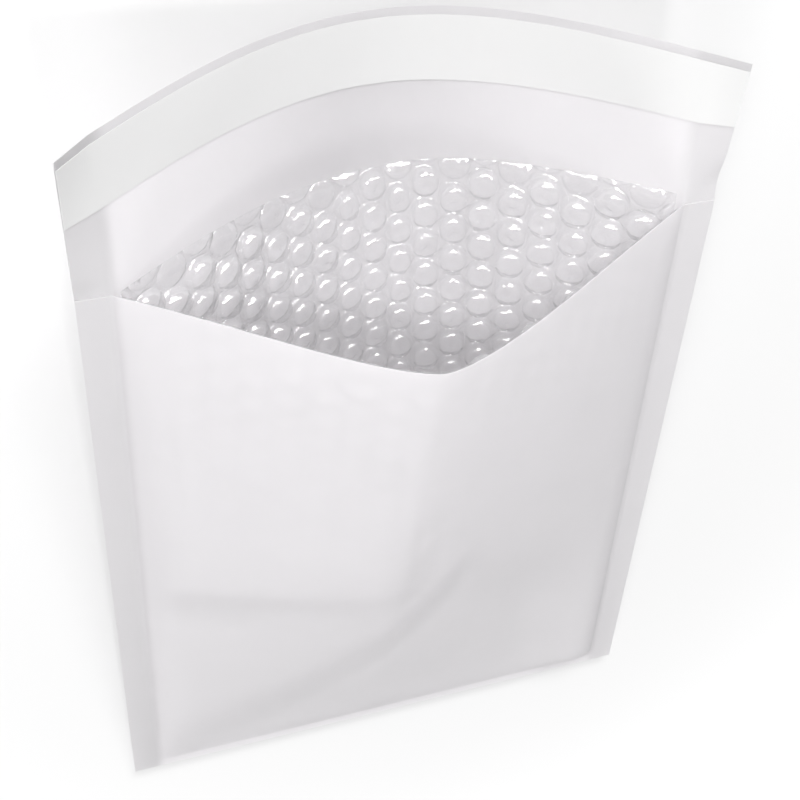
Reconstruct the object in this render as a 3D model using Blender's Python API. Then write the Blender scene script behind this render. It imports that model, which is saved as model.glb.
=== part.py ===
"""A bubble-lined CD mailer, empty and standing open, at rest on its back.

One web of white kraft paper is folded across at the bottom and glued down both sides, and its
back runs on past the mouth as the flap. A folded web of bubble film lines the pocket, and a
release liner covers the glue along the flap's edge.

Each panel is drawn on its own flat sheet, across and along from the bottom fold, and then bent:
straight lines run from the closed end to the bowed mouth, and the bowed edges keep the length
that they have when flat. X runs across, the mouth looks along -Y and the front panel is on top.
"""
import math

import bmesh
import bpy
from mathutils import Vector

MM = 0.001

# The paper, as it lies flat
WIDTH = 190 * MM
POCKET_LENGTH = 227 * MM
FLAP_LENGTH = 41.5 * MM
PAPER = 0.3 * MM
SIDE_SEAM = 9 * MM
BOTTOM_SEAM = 4 * MM

# How the open mailer is bent
FRONT_BOW = 41.5 * MM
FRONT_APEX = 5.5 * MM
FRONT_FULLNESS = 0.72
BACK_BOW = 39.5 * MM
BACK_APEX = 0.0
BACK_FULLNESS = 0.88
FLAP_BOW = 43 * MM
FLAP_APEX = -2.5 * MM
FLAP_FULLNESS = 1.0
FLAP_LEAN = math.radians(2.6)
PADDING = 4.6 * MM
PADDING_RISE = 10 * MM
REST_LAND = 0.4 * MM

# The lining
CLEARANCE = 0.3 * MM
FILM = 0.5 * MM
LINING_MARGIN = 2 * MM
BUBBLE_PITCH = 9.9 * MM
BUBBLE_HEIGHT = 4 * MM
BUBBLE_TOP_SHARE = 0.6
CUT_BUBBLE_SHARE = 0.35
OPEN_DEPTH_FRONT = 22 * MM
OPEN_DEPTH_BACK = 62 * MM

# The release liner
LINER = 0.2 * MM
LINER_WIDTH = 16 * MM
LINER_INSET = 2.1 * MM

# How finely the sheets are faceted
COLUMN = 9 * MM
ROW = 24 * MM
FLAP_ROW = 12 * MM

FRONT = 1
BACK = -1
POCKET_WIDTH = WIDTH - 2 * SIDE_SEAM
HALF_WIDTH = WIDTH / 2
HALF_POCKET = POCKET_WIDTH / 2
BOWS = {FRONT: FRONT_BOW, BACK: BACK_BOW}
APEXES = {FRONT: FRONT_APEX, BACK: BACK_APEX}
FULLNESSES = {FRONT: FRONT_FULLNESS, BACK: BACK_FULLNESS}


def bow_share(across, half, apex, fullness):
    """Height of a bowed edge at a flat place across it, 1 at the apex and 0 at both ends."""
    reach = half - apex if across > apex else half + apex
    place = min(abs(across - apex) / reach, 1.0)
    return math.cos(0.5 * math.pi * place ** fullness)


def chord_share(flat, bow, apex, fullness):
    """Chord of a bowed edge over its flat length, found by halving."""
    steps = 64
    low, high = 0.5, 1.0
    for _ in range(40):
        middle = (low + high) / 2
        length = 0.0
        last = None
        for step in range(steps + 1):
            across = flat * (step / steps - 0.5)
            point = Vector((across * middle, bow * bow_share(across, flat / 2, apex, fullness)))
            if last is not None:
                length += (point - last).length
            last = point
        if length > flat:
            high = middle
        else:
            low = middle
    return middle


MOUTH_SHARE = sum(
    chord_share(POCKET_WIDTH, BOWS[side], APEXES[side], FULLNESSES[side]) for side in (FRONT, BACK)
) / 2
FLAP_SHARE = chord_share(WIDTH, FLAP_BOW, FLAP_APEX, FLAP_FULLNESS)


def mouth_across(across):
    """Where a flat place across ends up at the mouth: the pocket narrows, the seams don't."""
    inside = max(-HALF_POCKET, min(HALF_POCKET, across))
    return inside * MOUTH_SHARE + across - inside


def mouth_bow(side, across):
    """How far the mouth's edge stands out from the seams' plane."""
    if abs(across) >= HALF_POCKET:
        return 0.0
    return BOWS[side] * bow_share(across, HALF_POCKET, APEXES[side], FULLNESSES[side])


def straight_share(side, across):
    """How much of its flat length a line from the closed end to the mouth keeps when it leans."""
    out = mouth_bow(side, across) / POCKET_LENGTH
    inward = (across - mouth_across(across)) / POCKET_LENGTH
    return math.sqrt(1 - out * out - inward * inward)


KEEL_LENGTH = POCKET_LENGTH * straight_share(BACK, BACK_APEX)
REST_ANGLE = math.atan((BACK_BOW - PADDING) / (KEEL_LENGTH - BOTTOM_SEAM))


def rise(distance):
    """How far the padding has come up at a distance from a seam."""
    left = max(0.0, 1 - max(0.0, distance) / PADDING_RISE)
    return 1 - left * left


def keel(length):
    """The straight line that the back rests on, as its distance from the seams' plane."""
    share = (length - BOTTOM_SEAM) / (KEEL_LENGTH - BOTTOM_SEAM)
    return PADDING + (BACK_BOW - PADDING) * share - REST_LAND


def panel_face(side, across, along):
    """A point on a panel's inner face: across, along and out of the seams' plane."""
    share = max(0.0, (along - BOTTOM_SEAM) / (POCKET_LENGTH - BOTTOM_SEAM))
    length = along * straight_share(side, across)
    padding = rise(HALF_POCKET - abs(across)) * rise(along - BOTTOM_SEAM)
    out = PADDING * padding * (1 - share) + mouth_bow(side, across) * share
    if side == BACK:
        out = min(out, max(0.0, keel(length)))
    width = across + (mouth_across(across) - across) * along / POCKET_LENGTH
    return Vector((width, length, side * out))


def flap_face(across, along):
    """A point on the flap's inner face, along from the mouth to the flap's edge."""
    mouth = panel_face(BACK, across, POCKET_LENGTH)
    bow = FLAP_BOW * bow_share(across, HALF_WIDTH, FLAP_APEX, FLAP_FULLNESS)
    corner = panel_face(BACK, HALF_WIDTH, POCKET_LENGTH).y
    edge = Vector((
        across * FLAP_SHARE,
        corner + FLAP_LENGTH * math.cos(FLAP_LEAN) + bow * math.sin(FLAP_LEAN),
        FLAP_LENGTH * math.sin(FLAP_LEAN) - bow * math.cos(FLAP_LEAN),
    ))
    return mouth.lerp(edge, along / FLAP_LENGTH)


def offset_point(face, across, along, limits, depth):
    """A point at a depth above a face, which looks up where the depth is positive."""
    step = 0.4 * MM
    low, high = limits
    ahead = face(across, min(along + step, high)) - face(across, max(along - step, low))
    reach = min(abs(across) + step, HALF_WIDTH) * (1 if across >= 0 else -1)
    inner = (abs(across) - step) * (1 if across >= 0 else -1)
    aside = (face(reach, along) - face(inner, along)) * (1 if across >= 0 else -1)
    normal = aside.cross(ahead).normalized()
    return face(across, along) + normal * depth


def panel_point(side, across, along, depth):
    """A point at a depth inside a panel's inner face, or outside it where that is negative."""
    def face(wide, long):
        return panel_face(side, wide, long)
    return offset_point(face, across, along, (0.0, POCKET_LENGTH), -side * depth)


def flap_point(across, along, depth):
    """A point at a depth in front of the flap's inner face."""
    return offset_point(flap_face, across, along, (0.0, FLAP_LENGTH), depth)


def to_world(point):
    """From the seams' own plane to the mailer at rest, with its back on the ground."""
    across, along, out = point
    cosine, sine = math.cos(REST_ANGLE), math.sin(REST_ANGLE)
    ground = -cosine * (PADDING - REST_LAND) + sine * BOTTOM_SEAM - PAPER
    return Vector((across, sine * out - cosine * along, cosine * out + sine * along - ground))


def even_steps(start, end, size):
    """Evenly spaced places from start to end, about a size apart."""
    count = max(1, round((end - start) / size))
    return [start + (end - start) * step / count for step in range(count + 1)]


def column_places():
    """Places across a panel, closer together where the padding rises, with a strip astride 0."""
    seam_places = [HALF_POCKET, HALF_POCKET - LINING_MARGIN, HALF_POCKET - PADDING_RISE / 2]
    places = even_steps(COLUMN / 2, HALF_POCKET - PADDING_RISE, COLUMN) + seam_places[::-1]
    return [-place for place in places[::-1]] + places


def row_places():
    """Places along a panel from the top of the bottom seam to the mouth."""
    foot = [BOTTOM_SEAM, BOTTOM_SEAM + LINING_MARGIN, BOTTOM_SEAM + PADDING_RISE / 2]
    return foot + even_steps(BOTTOM_SEAM + PADDING_RISE, POCKET_LENGTH, ROW)


COLUMNS = column_places()
ROWS = row_places()
ALL_COLUMNS = [-HALF_WIDTH] + COLUMNS + [HALF_WIDTH]
ALL_ROWS = [0.0] + ROWS
LINER_EDGES = [FLAP_LENGTH - LINER_INSET - LINER_WIDTH, FLAP_LENGTH - LINER_INSET]
FLAP_PLACES = even_steps(0.0, LINER_EDGES[0], FLAP_ROW) + [LINER_EDGES[1], FLAP_LENGTH]


class Solid:
    """A mesh whose corners are made once, by name, and whose faces are given by those names."""

    def __init__(self):
        self.mesh = bmesh.new()
        self.corners = {}

    def corner(self, name, point):
        """Make a corner unless it exists, and return its name."""
        if name not in self.corners:
            self.corners[name] = self.mesh.verts.new(to_world(point))
        return name

    def face(self, *names):
        """Make a face, leaving out a corner that is named twice running."""
        kept = [name for place, name in enumerate(names) if name != names[place - 1]]
        if len(kept) > 2:
            self.mesh.faces.new([self.corners[name] for name in kept])

    def finish(self, name, material):
        """Close the mesh, turn its faces outward and make the object."""
        bmesh.ops.triangulate(self.mesh, faces=self.mesh.faces)
        bmesh.ops.recalc_face_normals(self.mesh, faces=self.mesh.faces)
        data = bpy.data.meshes.new(name)
        self.mesh.to_mesh(data)
        self.mesh.free()
        data.materials.append(material)
        made = bpy.data.objects.new(name, data)
        bpy.context.collection.objects.link(made)
        return made


def from_inner_corner(names, outline, middle):
    """Triangles that fan out from a cell's corner nearest a middle, so neighbours' facets agree."""
    start = min(range(len(outline)), key=lambda place: math.dist(outline[place], middle))
    turned = names[start:] + names[:start]
    return [(turned[0], turned[step], turned[step + 1]) for step in range(1, len(turned) - 1)]


def grid_faces(solid, across_places, along_places, name_at):
    """Facets for each cell of a flat grid, split from the corner nearest the panel's middle."""
    middle = (0.0, POCKET_LENGTH / 2)
    for row in range(len(along_places) - 1):
        for column in range(len(across_places) - 1):
            spots = [(column, row), (column + 1, row), (column + 1, row + 1), (column, row + 1)]
            outline = [(across_places[spot[0]], along_places[spot[1]]) for spot in spots]
            names = [name_at(*spot) for spot in spots]
            for triangle in from_inner_corner(names, outline, middle):
                solid.face(*triangle)


def strip_faces(solid, first, second):
    """Four-sided faces between two rows of corners."""
    for step in range(len(first) - 1):
        solid.face(first[step], first[step + 1], second[step + 1], second[step])


def make_envelope(material):
    """The folded and glued paper: two panels, the side and bottom seams, and the flap."""
    solid = Solid()
    wide, long = len(ALL_COLUMNS), len(ALL_ROWS)

    def outer(side):
        def name_at(column, row):
            point = panel_point(side, ALL_COLUMNS[column], ALL_ROWS[row], -PAPER)
            return solid.corner(("outer", side, column, row), point)
        return name_at

    def inner(side):
        def name_at(column, row):
            on_seam = column in (1, wide - 2) or row == 1
            key = ("seam", column, row) if on_seam else ("inner", side, column, row)
            return solid.corner(key, panel_face(side, ALL_COLUMNS[column], ALL_ROWS[row]))
        return name_at

    def flap_inner(column, row):
        if row == 0 and 0 < column < wide - 1:
            return inner(BACK)(column, long - 1)
        return solid.corner(("flap inner", column, row), flap_face(ALL_COLUMNS[column], FLAP_PLACES[row]))

    def flap_outer(column, row):
        if row == 0:
            return outer(BACK)(column, long - 1)
        point = flap_point(ALL_COLUMNS[column], FLAP_PLACES[row], -PAPER)
        return solid.corner(("flap outer", column, row), point)

    for side in (FRONT, BACK):
        grid_faces(solid, ALL_COLUMNS, ALL_ROWS, outer(side))
        grid_faces(solid, COLUMNS, ROWS, lambda column, row: inner(side)(column + 1, row + 1))
    for face in (flap_inner, flap_outer):
        grid_faces(solid, ALL_COLUMNS, FLAP_PLACES, face)

    columns, rows, tops = range(wide), range(long), range(len(FLAP_PLACES))
    mouth = [flap_inner(0, 0)]
    mouth += [inner(FRONT)(column, long - 1) for column in range(1, wide - 1)]
    mouth += [flap_inner(wide - 1, 0)]
    strip_faces(solid, [outer(FRONT)(column, long - 1) for column in columns], mouth)
    strip_faces(
        solid,
        [outer(FRONT)(column, 0) for column in columns],
        [outer(BACK)(column, 0) for column in columns],
    )
    strip_faces(
        solid,
        [flap_inner(column, tops[-1]) for column in columns],
        [flap_outer(column, tops[-1]) for column in columns],
    )
    for column in (0, wide - 1):
        front_edge = [outer(FRONT)(column, row) for row in rows]
        back_edge = [outer(BACK)(column, row) for row in rows]
        strip_faces(solid, front_edge[:-1], back_edge[:-1])
        solid.face(front_edge[-2], front_edge[-1], flap_inner(column, 0), back_edge[-1], back_edge[-2])
        strip_faces(
            solid,
            [flap_inner(column, row) for row in tops],
            [flap_outer(column, row) for row in tops],
        )
    return solid.finish("envelope", material)


LINING_HALF = HALF_POCKET - LINING_MARGIN
FOLD_LEVEL = BOTTOM_SEAM + LINING_MARGIN
FOLD_HALF = panel_face(FRONT, 0.0, FOLD_LEVEL).z
LINING_REACH = POCKET_LENGTH - FOLD_LEVEL + FOLD_HALF


def lining_point(across, run, depth):
    """A point of the lining's web, which runs from the front's mouth over the fold to the back's."""
    if abs(run) >= FOLD_HALF:
        side = FRONT if run < 0 else BACK
        return panel_point(side, across, FOLD_LEVEL + abs(run) - FOLD_HALF, depth)
    front = panel_point(FRONT, across, FOLD_LEVEL, depth)
    back = panel_point(BACK, across, FOLD_LEVEL, depth)
    return front.lerp(back, (run + FOLD_HALF) / (2 * FOLD_HALF))


def between(first, second, share):
    """The flat point at a share of the way from one flat point to another."""
    return tuple(start + (end - start) * share for start, end in zip(first, second))


def clip_to_web(outline):
    """The part of a flat outline that lies on the lining's web."""
    for axis, limit in ((0, LINING_HALF), (1, LINING_REACH)):
        for sign in (1, -1):
            kept = []
            for place, point in enumerate(outline):
                last = outline[place - 1]
                here, before = sign * point[axis] - limit, sign * last[axis] - limit
                if (here > 0) != (before > 0):
                    crossing = list(between(last, point, before / (before - here)))
                    crossing[axis] = sign * limit
                    kept.append(tuple(crossing))
                if here <= 0:
                    kept.append(point)
            outline = kept
    return outline


def on_border(point):
    """The web's border line that a flat point lies on, or none."""
    near = 1e-9
    for axis, limit in ((0, LINING_HALF), (1, LINING_REACH)):
        if abs(abs(point[axis]) - limit) < near:
            return axis, point[axis] > 0
    return None


def web_name(point):
    """One name for a flat place, however it was worked out."""
    return round(point[0] / MM, 4) + 0.0, round(point[1] / MM, 4) + 0.0


def with_border_places(outline, places):
    """An outline with every place that lies on its stretches of the web's border."""
    full = []
    for place, point in enumerate(outline):
        last = outline[place - 1]
        for axis, limit in ((0, LINING_HALF), (1, LINING_REACH)):
            along = 1 - axis
            for sign in (1, -1):
                flat = [abs(end[axis] - sign * limit) < 1e-9 for end in (last, point)]
                if not all(flat):
                    continue
                low, high = sorted((last[along], point[along]))
                between = [
                    spot for spot in places
                    if abs(spot[axis] - sign * limit) < 1e-9 and low + 1e-8 < spot[along] < high - 1e-8
                ]
                between.sort(key=lambda spot: spot[along], reverse=last[along] > point[along])
                full += between
        full.append(point)
    return full


def bubble_cells():
    """The six-sided cells of the web's bubbles, cut off at its border, as centre and outline."""
    column_step = BUBBLE_PITCH * math.sqrt(3) / 2
    radius = BUBBLE_PITCH / math.sqrt(3)
    columns = math.ceil(LINING_HALF / column_step)
    rows = math.ceil(LINING_REACH / BUBBLE_PITCH) + 1
    cells = []
    for column in range(-columns, columns + 1):
        for row in range(-rows, rows + 1):
            centre = (column * column_step, (row + 0.5 * (column % 2)) * BUBBLE_PITCH)
            hexagon = [
                (
                    centre[0] + radius * math.cos(math.pi * corner / 3),
                    centre[1] + radius * math.sin(math.pi * corner / 3),
                )
                for corner in range(6)
            ]
            outline = clip_to_web(hexagon)
            if len(outline) > 2:
                cells.append((centre, outline))
    return cells


def bubble_height(centre, share):
    """How high a bubble stands before it would meet the middle of the pocket."""
    base = CLEARANCE + FILM
    wanted = BUBBLE_HEIGHT * share
    foot = abs(lining_point(centre[0], centre[1], base).z)
    top = abs(lining_point(centre[0], centre[1], base + wanted).z)
    free = max(0.0, foot - CLEARANCE)
    if foot - top > free:
        wanted *= free / (foot - top)
    return max(wanted, 0.1 * MM)


def make_lining(material):
    """The folded web of bubble film: a flat back and a face of raised cells."""
    solid = Solid()
    base = CLEARANCE + FILM
    cells = bubble_cells()
    columns = [place for place in COLUMNS if abs(place) <= LINING_HALF + 1e-9]
    panel_runs = [row - FOLD_LEVEL + FOLD_HALF for row in ROWS if row > BOTTOM_SEAM]
    runs = [-run for run in panel_runs[::-1]] + panel_runs
    border = {}
    for _, outline in cells:
        for point in outline:
            if on_border(point):
                border[web_name(point)] = point
    for column in columns:
        for run in runs:
            point = (column, run)
            if on_border(point):
                border[web_name(point)] = point
    places = list(border.values())

    def corner(point, depth, level):
        return solid.corner((level, web_name(point)), lining_point(point[0], point[1], depth))

    for centre, outline in cells:
        full = with_border_places(outline, places)
        ring = [corner(point, base, "face") for point in full]
        whole = len(outline) == 6 and not any(on_border(point) for point in outline)
        near_mouth = POCKET_LENGTH - FOLD_LEVEL + FOLD_HALF - abs(centre[1])
        open_depth = OPEN_DEPTH_FRONT if centre[1] < 0 else OPEN_DEPTH_BACK
        if whole and near_mouth < open_depth:
            raised = [between(centre, point, BUBBLE_TOP_SHARE) for point in outline]
            height = min(bubble_height(point, 1.0) for point in raised)
            top = [corner(point, base + height, "top") for point in raised]
            strip_faces(solid, ring + ring[:1], top + top[:1])
            solid.face(*top)
        else:
            middle = tuple(sum(values) / len(outline) for values in zip(*outline))
            height = bubble_height(middle, 1.0 if whole else CUT_BUBBLE_SHARE)
            apex = corner(middle, base + height, "top")
            for step in range(len(ring)):
                solid.face(ring[step - 1], ring[step], apex)

    for row in range(len(runs) - 1):
        for column in range(len(columns) - 1):
            outline = [
                (columns[column], runs[row]),
                (columns[column + 1], runs[row]),
                (columns[column + 1], runs[row + 1]),
                (columns[column], runs[row + 1]),
            ]
            full = with_border_places(outline, places)
            names = [corner(point, CLEARANCE, "back") for point in full]
            side = -1 if runs[row + 1] < 0.0 else 1
            middle = (0.0, side * (POCKET_LENGTH / 2 - FOLD_LEVEL + FOLD_HALF))
            for triangle in from_inner_corner(names, full, middle):
                solid.face(*triangle)

    around = with_border_places(
        [
            (-LINING_HALF, -LINING_REACH),
            (LINING_HALF, -LINING_REACH),
            (LINING_HALF, LINING_REACH),
            (-LINING_HALF, LINING_REACH),
        ],
        places,
    )
    around.append(around[0])
    strip_faces(
        solid,
        [corner(point, CLEARANCE, "back") for point in around],
        [corner(point, base, "face") for point in around],
    )
    return solid.finish("bubble_lining", material)


def make_liner(material):
    """The peel-off strip over the glue, along the flap's edge and as wide as the flap."""
    solid = Solid()
    depths = [CLEARANCE, CLEARANCE + LINER]
    wide = len(ALL_COLUMNS)

    def level(layer):
        def name_at(column, row):
            point = flap_point(ALL_COLUMNS[column], LINER_EDGES[row], depths[layer])
            return solid.corner((layer, column, row), point)
        return name_at

    for layer in (0, 1):
        grid_faces(solid, ALL_COLUMNS, LINER_EDGES, level(layer))
    around = [(column, 0) for column in range(wide)]
    around += [(column, 1) for column in range(wide - 1, -1, -1)]
    around.append(around[0])
    strip_faces(solid, [level(0)(*spot) for spot in around], [level(1)(*spot) for spot in around])
    return solid.finish("release_liner", material)


def make_material(name, colour, roughness, transmission=0.0):
    """A plain surface with the piece's colour."""
    material = bpy.data.materials.new(name)
    material.use_nodes = True
    surface = material.node_tree.nodes["Principled BSDF"]
    surface.inputs["Base Color"].default_value = (*colour, 1.0)
    surface.inputs["Roughness"].default_value = roughness
    surface.inputs["Metallic"].default_value = 0.0
    surface.inputs["Transmission Weight"].default_value = transmission
    return material


def paper_material():
    """White uncoated kraft paper."""
    return make_material("white_paper", (0.84, 0.84, 0.83), 0.65)


def film_material():
    """Clear film, which looks pale grey over the white paper."""
    return make_material("bubble_film", (0.74, 0.76, 0.78), 0.18, 0.35)


def liner_material():
    """Siliconed paper, a little glossier than the flap."""
    return make_material("release_paper", (0.88, 0.88, 0.87), 0.35)


def centre_on_ground(objects):
    """Put the middle of the part's box over the origin."""
    corners = [vertex.co for item in objects for vertex in item.data.vertices]
    middle = (min(corner.y for corner in corners) + max(corner.y for corner in corners)) / 2
    for item in objects:
        for vertex in item.data.vertices:
            vertex.co.y -= middle


def build():
    """Clear the scene and make the three pieces."""
    for item in list(bpy.data.objects):
        bpy.data.objects.remove(item, do_unlink=True)
    pieces = [
        make_envelope(paper_material()),
        make_lining(film_material()),
        make_liner(liner_material()),
    ]
    centre_on_ground(pieces)


build()
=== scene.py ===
import math

import bmesh
import bpy
import numpy as np
from mathutils import Matrix, Vector


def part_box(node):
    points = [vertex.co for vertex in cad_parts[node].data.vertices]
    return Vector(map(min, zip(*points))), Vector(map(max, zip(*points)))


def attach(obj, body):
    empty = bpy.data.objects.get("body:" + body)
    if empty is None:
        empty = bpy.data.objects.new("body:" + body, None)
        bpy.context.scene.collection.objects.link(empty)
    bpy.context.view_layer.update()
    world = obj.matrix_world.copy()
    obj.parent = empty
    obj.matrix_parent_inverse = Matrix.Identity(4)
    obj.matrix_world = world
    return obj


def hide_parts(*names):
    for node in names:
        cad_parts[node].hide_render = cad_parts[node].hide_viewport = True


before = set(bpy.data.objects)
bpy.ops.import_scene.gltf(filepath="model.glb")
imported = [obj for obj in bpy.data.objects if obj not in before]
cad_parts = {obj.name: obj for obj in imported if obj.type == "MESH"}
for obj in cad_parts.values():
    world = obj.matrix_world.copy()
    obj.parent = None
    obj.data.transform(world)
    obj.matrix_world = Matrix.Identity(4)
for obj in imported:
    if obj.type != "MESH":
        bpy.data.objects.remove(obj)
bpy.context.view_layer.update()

# The envelope is one web of white kraft paper, folded across at the bottom and glued down both
# sides. Its front and back panels stand apart at the mouth, and the back runs on as the flap.
MM = 0.001
envelope_low, envelope_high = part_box("envelope")
WIDTH = envelope_high.x - envelope_low.x
POCKET_LENGTH = 227 * MM
FLAP_LENGTH = 41.5 * MM
PAPER = 0.3 * MM
SIDE_SEAM = 9 * MM
BOTTOM_SEAM = 4 * MM
FRONT_BOW = 41.5 * MM
FRONT_APEX = 5.5 * MM
FRONT_FULLNESS = 0.72
BACK_BOW = 39.5 * MM
BACK_APEX = 0.0
BACK_FULLNESS = 0.88
FLAP_BOW = 43 * MM
FLAP_APEX = -2.5 * MM
FLAP_FULLNESS = 1.0
FLAP_LEAN = math.radians(2.6)
PADDING = 4.6 * MM
PADDING_RISE = 10 * MM
REST_LAND = 0.4 * MM
FRONT, BACK = 1, -1
POCKET_WIDTH = WIDTH - 2 * SIDE_SEAM
HALF_WIDTH = WIDTH / 2
HALF_POCKET = POCKET_WIDTH / 2
BOWS = {
    FRONT: (FRONT_BOW, FRONT_APEX, FRONT_FULLNESS),
    BACK: (BACK_BOW, BACK_APEX, BACK_FULLNESS),
}


def bow_share(across, half, apex, fullness):
    """Height of a bowed edge at flat places across it, 1 at the apex and 0 at both ends."""
    reach = np.where(across > apex, half - apex, half + apex)
    place = np.minimum(np.abs(across - apex) / reach, 1.0)
    return np.cos(0.5 * math.pi * place ** fullness)


CHORD_POINTS = 65
HALVINGS = 40


def chord_share(flat, bow, apex, fullness):
    """Chord of a bowed edge over its flat length, found by halving."""
    across = np.linspace(-flat / 2, flat / 2, CHORD_POINTS)
    height = bow * bow_share(across, flat / 2, apex, fullness)
    low, high = 0.5, 1.0
    for _ in range(HALVINGS):
        middle = (low + high) / 2
        if np.hypot(np.diff(across * middle), np.diff(height)).sum() > flat:
            high = middle
        else:
            low = middle
    return middle


MOUTH_SHARE = sum(chord_share(POCKET_WIDTH, *BOWS[side]) for side in (FRONT, BACK)) / 2
FLAP_SHARE = chord_share(WIDTH, FLAP_BOW, FLAP_APEX, FLAP_FULLNESS)


def mouth_across(across):
    """Where flat places across end up at the mouth."""
    inside = np.clip(across, -HALF_POCKET, HALF_POCKET)
    return inside * MOUTH_SHARE + across - inside


def mouth_bow(side, across):
    """How far the mouth's edge stands out from the seams' plane."""
    bow, apex, fullness = BOWS[side]
    out = bow * bow_share(across, HALF_POCKET, apex, fullness)
    return np.where(np.abs(across) < HALF_POCKET, out, 0.0)


def straight_share(side, across):
    """How much of its length a line from the closed end to the mouth keeps when it leans."""
    out = mouth_bow(side, across) / POCKET_LENGTH
    inward = (across - mouth_across(across)) / POCKET_LENGTH
    return np.sqrt(1 - out * out - inward * inward)


def rise(distance):
    """How far the padding has come up at a distance from a seam."""
    left = np.clip(1 - np.maximum(distance, 0.0) / PADDING_RISE, 0.0, 1.0)
    return 1 - left * left


KEEL_LENGTH = POCKET_LENGTH * float(straight_share(BACK, np.array(BACK_APEX)))
REST_ANGLE = math.atan((BACK_BOW - PADDING) / (KEEL_LENGTH - BOTTOM_SEAM))


def eased(share):
    """A soft step from 0 to 1 as a share of the way runs from 0 to 1."""
    share = np.clip(share, 0.0, 1.0)
    return share * share * (3 - 2 * share)


def hump(places, middle, width):
    """A smooth hill, 1 at its middle and gone at about twice its width."""
    return np.exp(-((places - middle) / width) ** 2)


SWELL = 0.35 * MM
SWELL_ACROSS = 34 * MM
SWELL_ALONG = 47 * MM
FRONT_TURN, BACK_TURN, FLAP_TURN = 1.0, 4.0, 7.0


def waves(across, along, turn):
    """The faint, uneven swell of paper over padding, between about -1 and 1."""
    wide, long = across / SWELL_ACROSS + turn, along / SWELL_ALONG
    swell = np.sin(1.3 * wide + 0.6 * long) + np.sin(0.7 * wide - 1.2 * long + 2 * turn)
    return (swell + 0.5 * np.sin(2.3 * wide + 1.9 * long - turn)) / 2.5


SLACK_END = 0.8 * POCKET_LENGTH
CREASE_LEVEL = 118 * MM
CREASE_HEIGHT = 3.0 * MM
CREASE_BELOW = 11 * MM
CREASE_ABOVE = 40 * MM
CREASE_ENDS = (-6 * MM, 86 * MM)
CREASE_FADES = (20 * MM, 14 * MM)
HOLLOW_DEPTH = 3.6 * MM
HOLLOW_SIDE = 42 * MM
HOLLOW_END = -46 * MM
HOLLOW_FADE = 38 * MM
RIM_START = (79 * MM, 40 * MM)
RIM_SLOPE = 0.27
RIM_CURVE = 0.0066
STEEP_RIM = (-9 * MM, 137 * MM)
STEEP_RIM_SLOPE = 0.745
DENTS = ((58 * MM, 94 * MM, 0.5 * MM), (0.0, 148 * MM, 0.45 * MM))
DENT_WIDTH = 5 * MM


def cross_crease(across, along):
    """The crease across the lower front, steep below and long above, as a height."""
    width = np.where(along < CREASE_LEVEL, CREASE_BELOW, CREASE_ABOVE)
    from_start = eased((across - CREASE_ENDS[0]) / CREASE_FADES[0])
    to_end = eased((CREASE_ENDS[1] - across) / CREASE_FADES[1])
    return CREASE_HEIGHT * hump(along, CREASE_LEVEL, width) * (from_start * to_end)


def corner_hollow(across, along):
    """The hollow below a curved rim at the front's lower right, as a depth."""
    aside = (RIM_START[0] - across) / MM
    rim = RIM_START[1] + (RIM_SLOPE * aside + RIM_CURVE * aside * np.abs(aside)) * MM
    rim = np.minimum(rim, STEEP_RIM[1] + STEEP_RIM_SLOPE * (across - STEEP_RIM[0]))
    kept = 1 - eased((HOLLOW_END - across) / HOLLOW_FADE)
    return HOLLOW_DEPTH * (eased((rim - along) / HOLLOW_SIDE) * kept)


def slack(side, across, along):
    """The shallow creases and dents of used paper, as a height out of a panel's face."""
    inside = rise(HALF_POCKET - np.abs(across)) * rise(along - BOTTOM_SEAM)
    mouth = 1 - eased((along - SLACK_END) / (POCKET_LENGTH - SLACK_END))
    if side == BACK:
        return SWELL * (waves(across, along, BACK_TURN) - 1) * inside * mouth
    height = SWELL * waves(across, along, FRONT_TURN)
    height = height + cross_crease(across, along) - corner_hollow(across, along)
    for middle, level, depth in DENTS:
        height = height - depth * hump(np.hypot(across - middle, along - level), 0.0, DENT_WIDTH)
    return height * inside * mouth


def panel_face(side, across, along):
    """Points on a panel's inner face: across, along and out of the seams' plane."""
    share = np.maximum(0.0, (along - BOTTOM_SEAM) / (POCKET_LENGTH - BOTTOM_SEAM))
    length = along * straight_share(side, across)
    padding = rise(HALF_POCKET - np.abs(across)) * rise(along - BOTTOM_SEAM)
    out = PADDING * padding * (1 - share) + mouth_bow(side, across) * share
    if side == BACK:
        keel_share = (length - BOTTOM_SEAM) / (KEEL_LENGTH - BOTTOM_SEAM)
        keel = PADDING + (BACK_BOW - PADDING) * keel_share - REST_LAND
        out = np.minimum(out, np.maximum(0.0, keel))
    out = out + slack(side, across, along)
    width = across + (mouth_across(across) - across) * along / POCKET_LENGTH
    return np.stack(np.broadcast_arrays(width, length, side * out), -1)


FLAP_EASE = 8 * MM
FLAP_SWELL = 0.8 * SWELL
CORNER_FOLD = (86 * MM, 2 * MM)
CORNER_FOLD_SLOPE = 0.75
CORNER_DROP = 0.2
CORNER_LIFT = 0.22


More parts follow.
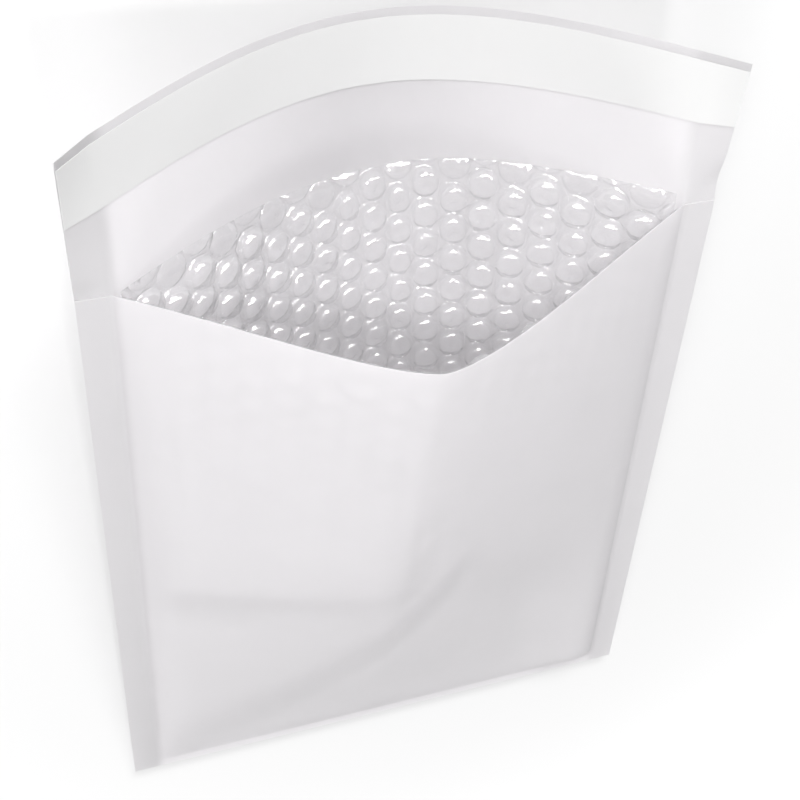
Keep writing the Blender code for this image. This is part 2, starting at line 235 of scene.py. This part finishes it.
def flap_face(across, along):
    """Points on the flap's inner face, along from the mouth to the flap's edge."""
    mouth = panel_face(BACK, across, np.full_like(across, POCKET_LENGTH))
    bow = FLAP_BOW * bow_share(across, HALF_WIDTH, FLAP_APEX, FLAP_FULLNESS)
    corner = panel_face(BACK, np.array(HALF_WIDTH), np.array(POCKET_LENGTH))[1]
    edge = np.stack((
        across * FLAP_SHARE,
        corner + FLAP_LENGTH * math.cos(FLAP_LEAN) + bow * math.sin(FLAP_LEAN),
        FLAP_LENGTH * math.sin(FLAP_LEAN) - bow * math.cos(FLAP_LEAN),
    ), -1)
    share = (along / FLAP_LENGTH)[..., None]
    points = mouth * (1 - share) + edge * share
    start = eased(along / FLAP_EASE)
    swell = FLAP_SWELL * waves(across, along + POCKET_LENGTH, FLAP_TURN) * start
    past_fold = -across - CORNER_FOLD[0] - CORNER_FOLD_SLOPE * (along - CORNER_FOLD[1])
    drop = CORNER_DROP * np.maximum(0.0, past_fold)
    lift = CORNER_LIFT * np.maximum(0.0, across - HALF_POCKET)
    points[..., 2] += swell + (lift - drop) * start
    return points


NORMAL_STEP = 0.4 * MM


def lifted(face, across, along, high, depth):
    """Points off a face, square to it, on its upper side where the depth is positive."""
    across, along = np.broadcast_arrays(np.asarray(across, float), np.asarray(along, float))
    further = np.minimum(along + NORMAL_STEP, high)
    nearer = np.maximum(along - NORMAL_STEP, 0.0)
    right = np.minimum(across + NORMAL_STEP, HALF_WIDTH)
    left = np.maximum(across - NORMAL_STEP, -HALF_WIDTH)
    ahead = face(across, further) - face(across, nearer)
    aside = face(right, along) - face(left, along)
    normal = np.cross(aside, ahead)
    normal /= np.linalg.norm(normal, axis=-1, keepdims=True)
    return face(across, along) + normal * np.asarray(depth)[..., None]


def panel_points(side, across, along, depth):
    """Points at a depth inside a panel's inner face, or outside it where that is negative."""
    def face(wide, long):
        return panel_face(side, wide, long)
    return lifted(face, across, along, POCKET_LENGTH, -side * np.asarray(depth))


def flap_points(across, along, depth):
    """Points at a depth in front of the flap's inner face."""
    return lifted(flap_face, across, along, FLAP_LENGTH, depth)


def at_rest(points):
    """From the seams' own plane to the mailer lying on its back, where the frame has it."""
    cosine, sine = math.cos(REST_ANGLE), math.sin(REST_ANGLE)
    ground = -cosine * (PADDING - REST_LAND) + sine * BOTTOM_SEAM - PAPER
    across, along, out = np.moveaxis(np.asarray(points, float), -1, 0)
    return np.stack((across, sine * out - cosine * along, cosine * out + sine * along - ground), -1)


closed_ends = [
    at_rest(panel_points(side, np.array(0.0), np.array(0.0), -PAPER))[1] for side in (FRONT, BACK)
]
shift = np.array((0.0, envelope_high.y - max(closed_ends), 0.0))


def steps(start, end, size):
    """Evenly spaced places from start to end, about a size apart."""
    return np.linspace(start, end, max(1, round((end - start) / size)) + 1)


SEAM_SHARES = np.array((0.0, 0.06, 0.14, 0.24, 0.36, 0.5, 0.64, 0.82))


def near_seam(start, end):
    """Places that start close together at a seam and spread out to the padding's full height."""
    return start + (end - start) * SEAM_SHARES


PAPER_STEP = 2 * MM
SEAM_STEP = 1 * MM
CUT_EDGE = 0.12 * MM
half_columns = np.concatenate((
    steps(0.0, HALF_POCKET - PADDING_RISE, PAPER_STEP),
    (HALF_POCKET - near_seam(0.0, PADDING_RISE))[:0:-1],
    steps(HALF_POCKET, HALF_WIDTH, PAPER_STEP),
))
columns = np.concatenate((-half_columns[:0:-1], half_columns))
rows = np.concatenate((
    steps(0.0, BOTTOM_SEAM, SEAM_STEP)[:-1],
    near_seam(BOTTOM_SEAM, BOTTOM_SEAM + PADDING_RISE),
    steps(BOTTOM_SEAM + PADDING_RISE, POCKET_LENGTH, PAPER_STEP),
))
flap_rows = steps(0.0, FLAP_LENGTH, PAPER_STEP)
outer_edge = int(np.argmin(np.abs(columns - HALF_POCKET)))
inner_columns = slice(len(columns) - 1 - outer_edge, outer_edge + 1)
seam_row = int(np.argmin(np.abs(rows - BOTTOM_SEAM)))


SHARP_EDGE = math.radians(45)


class PaperMesh:
    """Points and faces of a folded sheet, gathered layer by layer."""

    def __init__(self):
        self.points = []
        self.faces = []
        self.count = 0

    def layer(self, points):
        """Add a grid of points and return their numbers."""
        flat = points.reshape(-1, 3)
        numbers = np.arange(self.count, self.count + len(flat)).reshape(points.shape[:-1])
        self.points.append(flat)
        self.count += len(flat)
        return numbers

    def grid(self, numbers):
        """Fill a grid with four-sided faces."""
        quads = np.stack(
            (numbers[:-1, :-1], numbers[1:, :-1], numbers[1:, 1:], numbers[:-1, 1:]), -1
        )
        self.faces += quads.reshape(-1, 4).tolist()

    def strip(self, first, second):
        """Join two lines of points."""
        self.grid(np.stack((first, second), 1))

    def make(self, name, material):
        """Make the object, shaded smooth except at its cut edges."""
        mesh = bpy.data.meshes.new(name)
        faces = [list(dict.fromkeys(face)) for face in self.faces]
        mesh.from_pydata(at_rest(np.concatenate(self.points)) + shift, [], faces)
        mesh.validate()
        mesh.materials.append(material)
        piece = bpy.data.objects.new(name, mesh)
        bpy.context.scene.collection.objects.link(piece)
        mesh.shade_smooth()
        mesh.set_sharp_from_angle(angle=SHARP_EDGE)
        return piece


def socket_group(name, inputs, outputs):
    """An empty shader group with named sockets, each given as a kind and a value."""
    group = bpy.data.node_groups.new(name, "ShaderNodeTree")
    for label, (kind, value) in inputs.items():
        socket = group.interface.new_socket(label, in_out="INPUT", socket_type=kind)
        socket.default_value = value
    for label, kind in outputs.items():
        group.interface.new_socket(label, in_out="OUTPUT", socket_type=kind)
    return group, group.nodes.new("NodeGroupInput"), group.nodes.new("NodeGroupOutput")


def linked(tree, kind, links=(), **values):
    """A shader node with its sockets linked or set, by their names or numbers."""
    node = tree.nodes.new(kind)
    for key, value in values.items():
        setattr(node, key, value)
    for socket, source in links:
        if isinstance(source, bpy.types.NodeSocket):
            tree.links.new(source, node.inputs[socket])
        else:
            node.inputs[socket].default_value = source
    return node


CLOUD_SCALE = 55.0
TOOTH_SCALE = 1400.0
TOOTH_HEIGHT = 0.2 * MM


def make_fibre_group():
    """Pressed paper fibre: faint clouding of the colour and a fine tooth, from object places."""
    group, given, result = socket_group(
        "pressed_fibre",
        {
            "Colour": ("NodeSocketColor", (0.8, 0.8, 0.8, 1.0)),
            "Clouding": ("NodeSocketFloat", 0.03),
            "Tooth": ("NodeSocketFloat", 0.1),
        },
        {"Colour": "NodeSocketColor", "Height": "NodeSocketFloat"},
    )
    place = linked(group, "ShaderNodeTexCoord").outputs["Object"]
    cloud = linked(group, "ShaderNodeTexNoise", [("Vector", place), ("Scale", CLOUD_SCALE), ("Detail", 2.0)])
    tooth = linked(group, "ShaderNodeTexNoise", [
        ("Vector", place), ("Scale", TOOTH_SCALE), ("Detail", 0.0)
    ])
    shade = linked(group, "ShaderNodeMath", [(0, cloud.outputs["Fac"]), (1, 0.5)], operation="SUBTRACT")
    shade = linked(group, "ShaderNodeMath", [
        (0, shade.outputs[0]), (1, given.outputs["Clouding"]), (2, 1.0)
    ], operation="MULTIPLY_ADD")
    tint = linked(group, "ShaderNodeVectorMath", [
        (0, given.outputs["Colour"]), ("Scale", shade.outputs[0])
    ], operation="SCALE")
    height = linked(group, "ShaderNodeMath", [
        (0, tooth.outputs["Fac"]), (1, given.outputs["Tooth"])
    ], operation="MULTIPLY")
    group.links.new(tint.outputs[0], result.inputs["Colour"])
    group.links.new(height.outputs[0], result.inputs["Height"])
    return group


fibre_group = make_fibre_group()


def paper_surface(name, colour, roughness, clouding, tooth, see_through):
    """A material of pressed fibre, which lets a share of the light through."""
    material = bpy.data.materials.new(name)
    material.use_nodes = True
    tree = material.node_tree
    surface = tree.nodes["Principled BSDF"]
    fibre = tree.nodes.new("ShaderNodeGroup")
    fibre.node_tree = fibre_group
    fibre.inputs["Colour"].default_value = (*colour, 1.0)
    fibre.inputs["Clouding"].default_value = clouding
    fibre.inputs["Tooth"].default_value = tooth
    bump = linked(tree, "ShaderNodeBump", [
        ("Height", fibre.outputs["Height"]), ("Strength", 0.25), ("Distance", TOOTH_HEIGHT)
    ])
    tree.links.new(fibre.outputs["Colour"], surface.inputs["Base Color"])
    tree.links.new(bump.outputs["Normal"], surface.inputs["Normal"])
    surface.inputs["Roughness"].default_value = roughness
    surface.inputs["Specular IOR Level"].default_value = 0.25
    passed = linked(tree, "ShaderNodeBsdfTranslucent", [("Color", fibre.outputs["Colour"])])
    mixed = linked(tree, "ShaderNodeMixShader", [
        (0, see_through), (1, surface.outputs[0]), (2, passed.outputs[0])
    ])
    tree.links.new(mixed.outputs[0], tree.nodes["Material Output"].inputs["Surface"])
    return material


envelope = PaperMesh()
wide, long = columns[:, None], rows[None, :]
inside_wide, inside_long = columns[inner_columns][:, None], rows[seam_row:][None, :]
outer = {side: envelope.layer(panel_points(side, wide, long, -PAPER)) for side in (FRONT, BACK)}
inner_depth = {side: np.zeros_like(inside_wide * inside_long) for side in (FRONT, BACK)}
inner_depth[FRONT][1:-1, -1] = CUT_EDGE - PAPER
inner = {
    side: envelope.layer(panel_points(side, inside_wide, inside_long, inner_depth[side]))
    for side in (FRONT, BACK)
}
for border in (np.s_[0, :], np.s_[-1, :], np.s_[:, 0]):
    inner[BACK][border] = inner[FRONT][border]
flap_wide, flap_long = np.broadcast_arrays(wide, flap_rows[None, :])
flap_inner = envelope.layer(flap_face(flap_wide, flap_long))
flap_depth = np.where(flap_long < FLAP_LENGTH, -PAPER, -CUT_EDGE)
flap_outer = envelope.layer(flap_points(flap_wide, flap_long, flap_depth))
flap_outer[:, 0] = outer[BACK][:, -1]
flap_inner[inner_columns, 0] = inner[BACK][:, -1]
for side in (FRONT, BACK):
    envelope.grid(outer[side])
    envelope.grid(inner[side])
envelope.grid(flap_inner)
envelope.grid(flap_outer)
mouth_line = flap_inner[:, 0].copy()
mouth_line[inner_columns] = inner[FRONT][:, -1]
envelope.strip(outer[FRONT][:, -1], mouth_line)
envelope.strip(outer[FRONT][:, 0], outer[BACK][:, 0])
envelope.strip(flap_inner[:, -1], flap_outer[:, -1])
for edge in (0, -1):
    envelope.strip(outer[FRONT][edge, :], outer[BACK][edge, :])
    envelope.strip(flap_inner[edge, :], flap_outer[edge, :])
    envelope.faces.append([outer[FRONT][edge, -1], flap_inner[edge, 0], outer[BACK][edge, -1]])

# Painted shade darkens the paper's colour in the side margins, deeper on the plus-x side than the minus-x
# side. The paper also darkens towards the flap's edge.
PAINTED_SHADE_MINUS_X = 0.92
PAINTED_SHADE_PLUS_X = 0.86
SEAM_FADE = (-2.5 * MM, 1.5 * MM)
EDGE_DARKENING = 0.9
EDGE_DARKENING_START = (256 * MM, 260 * MM)
MIDDLE_BLEND = 1 * MM


def paint_seam_shade(material):
    """Darken a paper with painted shade in its side margins, and darken it towards the flap's edge."""
    tree = material.node_tree
    surface = tree.nodes["Principled BSDF"]
    plain = surface.inputs["Base Color"].links[0].from_socket
    place = linked(tree, "ShaderNodeTexCoord").outputs["Object"]
    cosine, sine = math.cos(REST_ANGLE), math.sin(REST_ANGLE)
    level = linked(tree, "ShaderNodeVectorMath", [
        (0, place), (1, (0.0, -cosine, sine))
    ], operation="DOT_PRODUCT").outputs["Value"]
    # The value that the closed end has along that direction.
    start = -cosine * float(shift[1]) + sine * -float(at_rest(np.zeros(3))[2])
    aside = linked(tree, "ShaderNodeSeparateXYZ", [("Vector", place)]).outputs["X"]
    # Painted shade for the side margins, deeper on the plus-x side.
    shade = linked(tree, "ShaderNodeMapRange", [
        ("Value", aside), ("From Min", -MIDDLE_BLEND), ("From Max", MIDDLE_BLEND),
        ("To Min", PAINTED_SHADE_MINUS_X), ("To Max", PAINTED_SHADE_PLUS_X)
    ]).outputs["Result"]
    across = linked(tree, "ShaderNodeMath", [(0, aside)], operation="ABSOLUTE").outputs[0]
    narrowing = (1 - MOUTH_SHARE) * HALF_POCKET / POCKET_LENGTH
    across = linked(tree, "ShaderNodeMath", [
        (0, level), (1, narrowing), (2, across)
    ], operation="MULTIPLY_ADD").outputs[0]
    edge = HALF_POCKET + narrowing * start
    keep = linked(tree, "ShaderNodeMapRange", [
        ("Value", across), ("From Min", edge + SEAM_FADE[0]), ("From Max", edge + SEAM_FADE[1]),
        ("To Min", 1.0), ("To Max", shade)
    ], interpolation_type="SMOOTHSTEP").outputs["Result"]
    # The paper darkens towards the flap's edge.
    edge_darkening = linked(tree, "ShaderNodeMapRange", [
        ("Value", level), ("From Min", start + EDGE_DARKENING_START[0]), ("From Max", start + EDGE_DARKENING_START[1]),
        ("To Min", 1.0), ("To Max", EDGE_DARKENING)
    ]).outputs["Result"]
    keep = linked(tree, "ShaderNodeMath", [(0, keep), (1, edge_darkening)], operation="MULTIPLY").outputs[0]
    toned = linked(tree, "ShaderNodeVectorMath", [(0, plain), ("Scale", keep)], operation="SCALE")
    tree.links.new(toned.outputs[0], surface.inputs["Base Color"])
    tree.links.new(toned.outputs[0], tree.nodes["Translucent BSDF"].inputs["Color"])


white_paper = paper_surface(
    "white_kraft_paper", colour=(0.965, 0.954, 0.965), roughness=0.6, clouding=0.03, tooth=0.4,
    see_through=0.52,
)
paint_seam_shade(white_paper)
paper_envelope = envelope.make("paper_envelope", white_paper)
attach(paper_envelope, "root")
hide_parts("envelope")

# The lining is one web of clear film with round air bubbles, welded to the paper all round and
# folded with it. Its bubbles face into the pocket, and the ones cut through at the mouth lie flat.
CLEARANCE = 0.3 * MM
LINING_MARGIN = 2 * MM
LINING_PROUD = 2.8 * MM
PROUD_START = 25 * MM
PROUD_FADE = 60 * MM
BUBBLE_PITCH = 9.9 * MM
BUBBLE_HEIGHT = 4.0 * MM
BUBBLE_RADIUS = 4.7 * MM
BUBBLE_SEGMENTS = 12
BUBBLE_FULLNESS = (0.86, 1.0)
CUT_FULLNESS = (0.15, 0.42)
BUBBLE_LEAN = 0.05
BUBBLE_WOBBLE = 0.012
EDGE_REACH = 0.45 * BUBBLE_PITCH
WELD_WIDTH = 2.4 * MM
CUT_RIM = 0.4 * MM
RIDGE_HEIGHT = 1.6 * MM
RIDGES_ACROSS = 4.1
RIDGES_ALONG = 1.6
RIDGE_TURN = 2.0
RIDGE_SPREAD = 0.25
FRONT_RIDGES = 0.4
# Each ring's share of the radius and of the height, and how far a slack bubble dips there.
DOME_RINGS = (
    (1.02, 0.02, 0.0), (0.99, 0.32, 0.0), (0.945, 0.59, 0.0), (0.87, 0.79, 0.0), (0.74, 0.925, 0.0),
    (0.57, 0.985, 0.0), (0.3, 1.01, 0.04), (0.0, 1.025, 0.08),
)
LINING_HALF = HALF_POCKET - LINING_MARGIN
FOLD_LEVEL = BOTTOM_SEAM + LINING_MARGIN
FOLD_HALF = float(panel_face(FRONT, np.array(0.0), np.array(FOLD_LEVEL))[2])
LINING_REACH = POCKET_LENGTH - FOLD_LEVEL + FOLD_HALF


def web_end(across, run):
    """How far the web runs: to the front's edge, and on the back a little onto the flap."""
    proud = LINING_PROUD * eased((PROUD_START - across) / PROUD_FADE)
    return np.where(run > 0, LINING_REACH + proud, LINING_REACH)


def web_points(across, run, depth):
    """Points of the web, which runs from the front's mouth over the fold to the back's."""
    along = FOLD_LEVEL + np.maximum(np.abs(run) - FOLD_HALF, 0.0)
    level = np.minimum(along, POCKET_LENGTH)
    front = panel_points(FRONT, across, level, depth)
    back = panel_points(BACK, across, level, depth)
    onto_flap = flap_points(across, np.maximum(along - POCKET_LENGTH, 0.0), depth)
    back = np.where((along > POCKET_LENGTH)[..., None], onto_flap, back)
    share = np.clip((run + FOLD_HALF) / (2 * FOLD_HALF), 0.0, 1.0)[..., None]
    return front * (1 - share) + back * share


def bubble_centres():
    """Where the bubbles stand across the web and along its run, in staggered columns."""
    column_step = BUBBLE_PITCH * math.sqrt(3) / 2
    column_count = math.ceil(LINING_HALF / column_step)
    row_count = math.ceil(LINING_REACH / BUBBLE_PITCH) + 1
    centres = np.array([
        (column * column_step, (row + 0.5 * (column % 2)) * BUBBLE_PITCH)
        for column in range(-column_count, column_count + 1)
        for row in range(-row_count, row_count + 1)
    ])
    ends = web_end(centres[:, 0], centres[:, 1])
    beyond = np.maximum(np.abs(centres[:, 0]) - LINING_HALF, np.abs(centres[:, 1]) - ends)
    return centres[beyond < EDGE_REACH]


def cell_rings():
    """A cell's angles, and its rings' radii, heights and dips from the six-sided border up."""
    angles = np.arange(BUBBLE_SEGMENTS) * 2 * math.pi / BUBBLE_SEGMENTS
    corner_turn = (angles % (math.pi / 3)) - math.pi / 6
    border_radius = BUBBLE_PITCH / 2 / np.cos(corner_turn)
    ring_radii, ring_heights, ring_dips = np.array(DOME_RINGS).T
    dome_radii = ring_radii[:, None] * np.full(BUBBLE_SEGMENTS, BUBBLE_RADIUS)
    radii = np.vstack((border_radius, dome_radii))
    return angles, radii, np.append(0.0, ring_heights), np.append(0.0, ring_dips)


def ridges(across, run):
    """The wrinkles of the flat film between the bubbles, lower on the front's run."""
    swell = waves(RIDGES_ACROSS * across, RIDGES_ALONG * run, RIDGE_TURN)
    return np.maximum(0.0, swell + RIDGE_SPREAD) * np.where(run > 0, 1.0, FRONT_RIDGES)


def bubble_cells(centres):
    """Places across and along the web with the film's height there, by bubble, ring and angle."""
    chance = np.random.default_rng(5)
    angles, radii, heights, dips = cell_rings()
    count = len(centres)
    fullness = chance.uniform(*BUBBLE_FULLNESS, count)
    lean = chance.normal(0.0, BUBBLE_LEAN, (count, 2))
    cut = np.abs(centres[:, 1]) > web_end(centres[:, 0], centres[:, 1]) - EDGE_REACH
    fullness[cut] *= chance.uniform(*CUT_FULLNESS, cut.sum())
    wobble = 1 + chance.normal(0.0, BUBBLE_WOBBLE, (count, 1, BUBBLE_SEGMENTS))
    wobble[:, :, 0] = 1.0
    sunk = chance.uniform(0.0, 1.0, count)[:, None, None]
    spread = np.where(heights[None, :, None] > 0, wobble, 1.0) * radii[None]
    across = centres[:, 0, None, None] + spread * np.cos(angles)
    run = centres[:, 1, None, None] + spread * np.sin(angles)
    tilt = 1 + lean[:, 0, None, None] * np.cos(angles) + lean[:, 1, None, None] * np.sin(angles)
    profile = heights[None, :, None] - dips[None, :, None] * sunk
    height = BUBBLE_HEIGHT * fullness[:, None, None] * profile * tilt
    across = np.clip(across, -LINING_HALF, LINING_HALF)
    ends = web_end(across, run)
    run = np.clip(run, -ends, ends)
    height[:, 0] = RIDGE_HEIGHT * ridges(across[:, 0], run[:, 0])
    at_cut = eased((ends + CUT_RIM - np.abs(run)) / WELD_WIDTH)
    at_side = eased((LINING_HALF + CUT_RIM - np.abs(across)) / WELD_WIDTH)
    return across, run, height * at_cut * at_side


FILM_GAP = 0.3 * MM
PROBE = 1 * MM
LEAST_FALL = 0.2


def film_points(across, run, height):
    """Points of the film, with each bubble kept on its own side of the seams' plane."""
    foot = web_points(across, run, np.full_like(run, CLEARANCE))
    probe = web_points(across, run, np.full_like(run, CLEARANCE + PROBE))
    fall = (np.abs(foot[..., 2]) - np.abs(probe[..., 2])) / PROBE
    room = np.maximum(np.abs(foot[..., 2]) - FILM_GAP, 0.0) / np.maximum(fall, LEAST_FALL)
    return foot + (probe - foot) / PROBE * np.minimum(height, room)[..., None]


WELD_REACH = 0.01 * MM


def make_bubble_web(material):
    """The web, each cell a six-sided patch of flat film with a dome drawn up out of it."""
    points = film_points(*bubble_cells(bubble_centres()))
    numbers = np.arange(points[..., 0].size).reshape(points.shape[:-1])
    around = np.concatenate((numbers, numbers[:, :, :1]), 2)
    quads = np.stack(
        (around[:, :-1, :-1], around[:, :-1, 1:], around[:, 1:, 1:], around[:, 1:, :-1]), -1
    ).reshape(-1, 4)
    mesh = bpy.data.meshes.new("bubble_web")
    mesh.from_pydata(at_rest(points.reshape(-1, 3)) + shift, [], quads.tolist())
    welded = bmesh.new()
    welded.from_mesh(mesh)
    bmesh.ops.remove_doubles(welded, verts=welded.verts, dist=WELD_REACH)
    bmesh.ops.recalc_face_normals(welded, faces=welded.faces)
    welded.to_mesh(mesh)
    welded.free()
    mesh.materials.append(material)
    mesh.shade_smooth()
    piece = bpy.data.objects.new("bubble_web", mesh)
    bpy.context.scene.collection.objects.link(piece)
    return piece


FILM_COLOUR = (0.36, 0.357, 0.365, 1.0)
FILM_IOR = 1.6
FACING_ALPHA = 0.2
TURNED_ALPHA = 0.45
GLINT_COLOUR = (0.1, 0.1, 0.1, 1.0)
CRINKLE_SCALE = 480.0
CRINKLE_HEIGHT = 0.5 * MM


def film_surface():
    """Clear film: nearly unseen face on, bright and hazy where it turns away."""
    material = bpy.data.materials.new("clear_film")
    material.use_nodes = True
    tree = material.node_tree
    surface = tree.nodes["Principled BSDF"]
    surface.inputs["Base Color"].default_value = FILM_COLOUR
    surface.inputs["Roughness"].default_value = 0.08
    surface.inputs["IOR"].default_value = FILM_IOR
    surface.inputs["Coat Weight"].default_value = 1.0
    surface.inputs["Coat Roughness"].default_value = 0.04
    surface.inputs["Coat IOR"].default_value = FILM_IOR
    place = linked(tree, "ShaderNodeTexCoord").outputs["Object"]
    crinkle = linked(tree, "ShaderNodeTexNoise", [
        ("Vector", place), ("Scale", CRINKLE_SCALE), ("Detail", 0.0)
    ])
    bump = linked(tree, "ShaderNodeBump", [
        ("Height", crinkle.outputs["Fac"]), ("Strength", 0.6), ("Distance", CRINKLE_HEIGHT)
    ])
    tree.links.new(bump.outputs["Normal"], surface.inputs["Normal"])
    turned = linked(tree, "ShaderNodeLayerWeight", [("Blend", 0.35)])
    alpha = linked(tree, "ShaderNodeMapRange", [
        ("Value", turned.outputs["Facing"]), ("From Min", 0.0), ("From Max", 0.95),
        ("To Min", FACING_ALPHA), ("To Max", TURNED_ALPHA)
    ])
    tree.links.new(alpha.outputs["Result"], surface.inputs["Alpha"])
    glint = linked(tree, "ShaderNodeBsdfAnisotropic", [
        ("Color", GLINT_COLOUR), ("Roughness", 0.1), ("Normal", bump.outputs["Normal"])
    ])
    both = linked(tree, "ShaderNodeAddShader", [(0, surface.outputs[0]), (1, glint.outputs[0])])
    tree.links.new(both.outputs[0], tree.nodes["Material Output"].inputs["Surface"])
    return material


bubble_web = make_bubble_web(film_surface())
bubble_web.visible_shadow = False
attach(bubble_web, "root")
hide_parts("bubble_lining")

# The release liner is a strip of siliconed paper over the glue near the flap's edge, as wide as
# the flap. It peels off to close the mailer.
LINER = 0.12 * MM
LINER_WIDTH = 16 * MM
LINER_INSET = 2.1 * MM
LINER_GAP = 0.1 * MM
liner = PaperMesh()
liner_rows = FLAP_LENGTH - LINER_INSET - LINER_WIDTH + steps(0.0, LINER_WIDTH, PAPER_STEP)
liner_wide, liner_long = np.broadcast_arrays(wide, liner_rows[None, :])
under = liner.layer(flap_points(liner_wide, liner_long, LINER_GAP))
over = liner.layer(flap_points(liner_wide, liner_long, LINER_GAP + LINER))
liner.grid(under)
liner.grid(over)
for edge in (0, -1):
    liner.strip(under[edge, :], over[edge, :])
    liner.strip(under[:, edge], over[:, edge])
release_paper = paper_surface(
    "siliconed_paper", colour=(0.945, 0.945, 0.942), roughness=0.42, clouding=0.015, tooth=0.15,
    see_through=0.2,
)
liner_strip = liner.make("liner_strip", release_paper)
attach(liner_strip, "root")
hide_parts("release_liner")

# A plain pale floor keeps the mailer's shadow, and fades to white farther out where the camera
# sees it. The surround is white to the camera and lights the mailer less.
FLOOR_REACH = 3.0
FLOOR_COLOUR = (0.82, 0.82, 0.82, 1.0)
FADE_START = 0.13
FADE_END = 0.6
NEAR_LIFT = 0.03
FAR_LIFT = 0.7
WORLD_LIGHT = 0.48

floor_mesh = bpy.data.meshes.new("floor")
floor_corners = ((-1, -1), (1, -1), (1, 1), (-1, 1))
floor_mesh.from_pydata(
    [(x * FLOOR_REACH, y * FLOOR_REACH, 0.0) for x, y in floor_corners], [], [(0, 1, 2, 3)]
)
floor = bpy.data.objects.new("floor", floor_mesh)
bpy.context.scene.collection.objects.link(floor)
floor_white = bpy.data.materials.new("floor_white")
floor_white.use_nodes = True
floor_tree = floor_white.node_tree
floor_surface = floor_tree.nodes["Principled BSDF"]
floor_surface.inputs["Base Color"].default_value = FLOOR_COLOUR
floor_surface.inputs["Roughness"].default_value = 1.0
floor_surface.inputs["Specular IOR Level"].default_value = 0.0
rays = linked(floor_tree, "ShaderNodeLightPath")
seen = linked(floor_tree, "ShaderNodeMath", [
    (0, rays.outputs["Is Camera Ray"]), (1, rays.outputs["Is Glossy Ray"])
], operation="MAXIMUM")
seen = linked(floor_tree, "ShaderNodeMath", [
    (0, seen.outputs[0]), (1, rays.outputs["Is Transmission Ray"])
], operation="MAXIMUM")
spot = linked(floor_tree, "ShaderNodeTexCoord").outputs["Object"]
reach = linked(floor_tree, "ShaderNodeVectorMath", [(0, spot)], operation="LENGTH").outputs["Value"]
fade = linked(floor_tree, "ShaderNodeMapRange", [
    ("Value", reach), ("From Min", FADE_START), ("From Max", FADE_END),
    ("To Min", NEAR_LIFT), ("To Max", FAR_LIFT)
], interpolation_type="SMOOTHSTEP")
lift = linked(floor_tree, "ShaderNodeMath", [
    (0, seen.outputs[0]), (1, fade.outputs["Result"])
], operation="MULTIPLY")
glow = linked(floor_tree, "ShaderNodeEmission", [("Strength", lift.outputs[0])])
lit_floor = linked(floor_tree, "ShaderNodeAddShader", [(0, floor_surface.outputs[0]), (1, glow.outputs[0])])
floor_tree.links.new(lit_floor.outputs[0], floor_tree.nodes["Material Output"].inputs["Surface"])
floor_mesh.materials.append(floor_white)

world = bpy.data.worlds.new("studio")
bpy.context.scene.world = world
world.use_nodes = True
world_tree = world.node_tree
background = world_tree.nodes["Background"]
background.inputs["Color"].default_value = (1.0, 1.0, 1.0, 1.0)
world_rays = linked(world_tree, "ShaderNodeLightPath")
world_seen = linked(world_tree, "ShaderNodeMath", [
    (0, world_rays.outputs["Is Camera Ray"]), (1, 1.0 - WORLD_LIGHT), (2, WORLD_LIGHT)
], operation="MULTIPLY_ADD")
world_tree.links.new(world_seen.outputs[0], background.inputs["Strength"])

# Two soft lamps stand on the mouth's side, one behind the closed end and a small one high above.
# A long narrow one gives no diffuse light and only draws the glints on the film.
LAMP_AIM = (0.0, 0.0, 0.03)
# Each lamp's name, place, size and power, and whether it gives diffuse light.
LAMPS = (
    ("key_lamp", (0.8, -0.9, 1.5), (0.3, 0.3), 11.0, True),
    ("mouth_lamp", (-0.1, -1.6, 0.85), (0.8, 0.4), 16.5, True),
    ("far_lamp", (0.7, 1.5, 1.0), (0.6, 0.6), 9.0, True),
    ("top_lamp", (0.0, 0.45, 1.75), (0.18, 0.18), 3.5, True),
    ("glint_strip", (0.1, -1.3, 1.4), (3.4, 0.08), 72.0, False),
)
for name, place, size, power, fills in LAMPS:
    light = bpy.data.lights.new(name, "AREA")
    light.shape = "RECTANGLE"
    light.size, light.size_y = size
    light.energy = power
    lamp = bpy.data.objects.new(name, light)
    bpy.context.scene.collection.objects.link(lamp)
    lamp.location = place
    lamp.visible_diffuse = fills
    lamp.rotation_mode = "QUATERNION"
    lamp.rotation_quaternion = (Vector(place) - Vector(LAMP_AIM)).to_track_quat("Z", "Y")

# The camera keeps its place over the open mouth, as the photograph was taken, so the mouth is up
# in the picture. Its place and axes are measured across, along and out from the bottom fold.
EYE = np.array((80.3, 414.0, 221.7)) * MM
LOOK = np.array((-0.2174, -0.7072, -0.6727))
PICTURE_UP = np.array((-0.1768, 0.7064, -0.6854))
FOCAL_PIXELS = 1191.4
PICTURE_PIXELS = 800
CENTRE_PIXEL = (375.2, 382.4)
SENSOR_WIDTH = 36.0


def direction(vector):
    """A direction, turned with the mailer to where it lies."""
    return Vector(at_rest(vector) - at_rest(np.zeros(3))).normalized()


camera_data = bpy.data.cameras.new("camera")
camera = bpy.data.objects.new("camera", camera_data)
bpy.context.scene.collection.objects.link(camera)
look, up = direction(LOOK), direction(PICTURE_UP)
right = look.cross(up).normalized()
up = right.cross(look)
camera.matrix_world = Matrix.Translation(Vector(at_rest(EYE) + shift)) @ Matrix((
    (right.x, up.x, -look.x), (right.y, up.y, -look.y), (right.z, up.z, -look.z)
)).to_4x4()
camera_data.sensor_width = SENSOR_WIDTH
camera_data.lens = SENSOR_WIDTH * FOCAL_PIXELS / PICTURE_PIXELS
camera_data.shift_x = (PICTURE_PIXELS / 2 - CENTRE_PIXEL[0]) / PICTURE_PIXELS
camera_data.shift_y = (CENTRE_PIXEL[1] - PICTURE_PIXELS / 2) / PICTURE_PIXELS
camera_data.clip_start, camera_data.clip_end = 0.01, 20.0
bpy.context.scene.camera = camera
bpy.context.scene.view_settings.view_transform = "Standard"
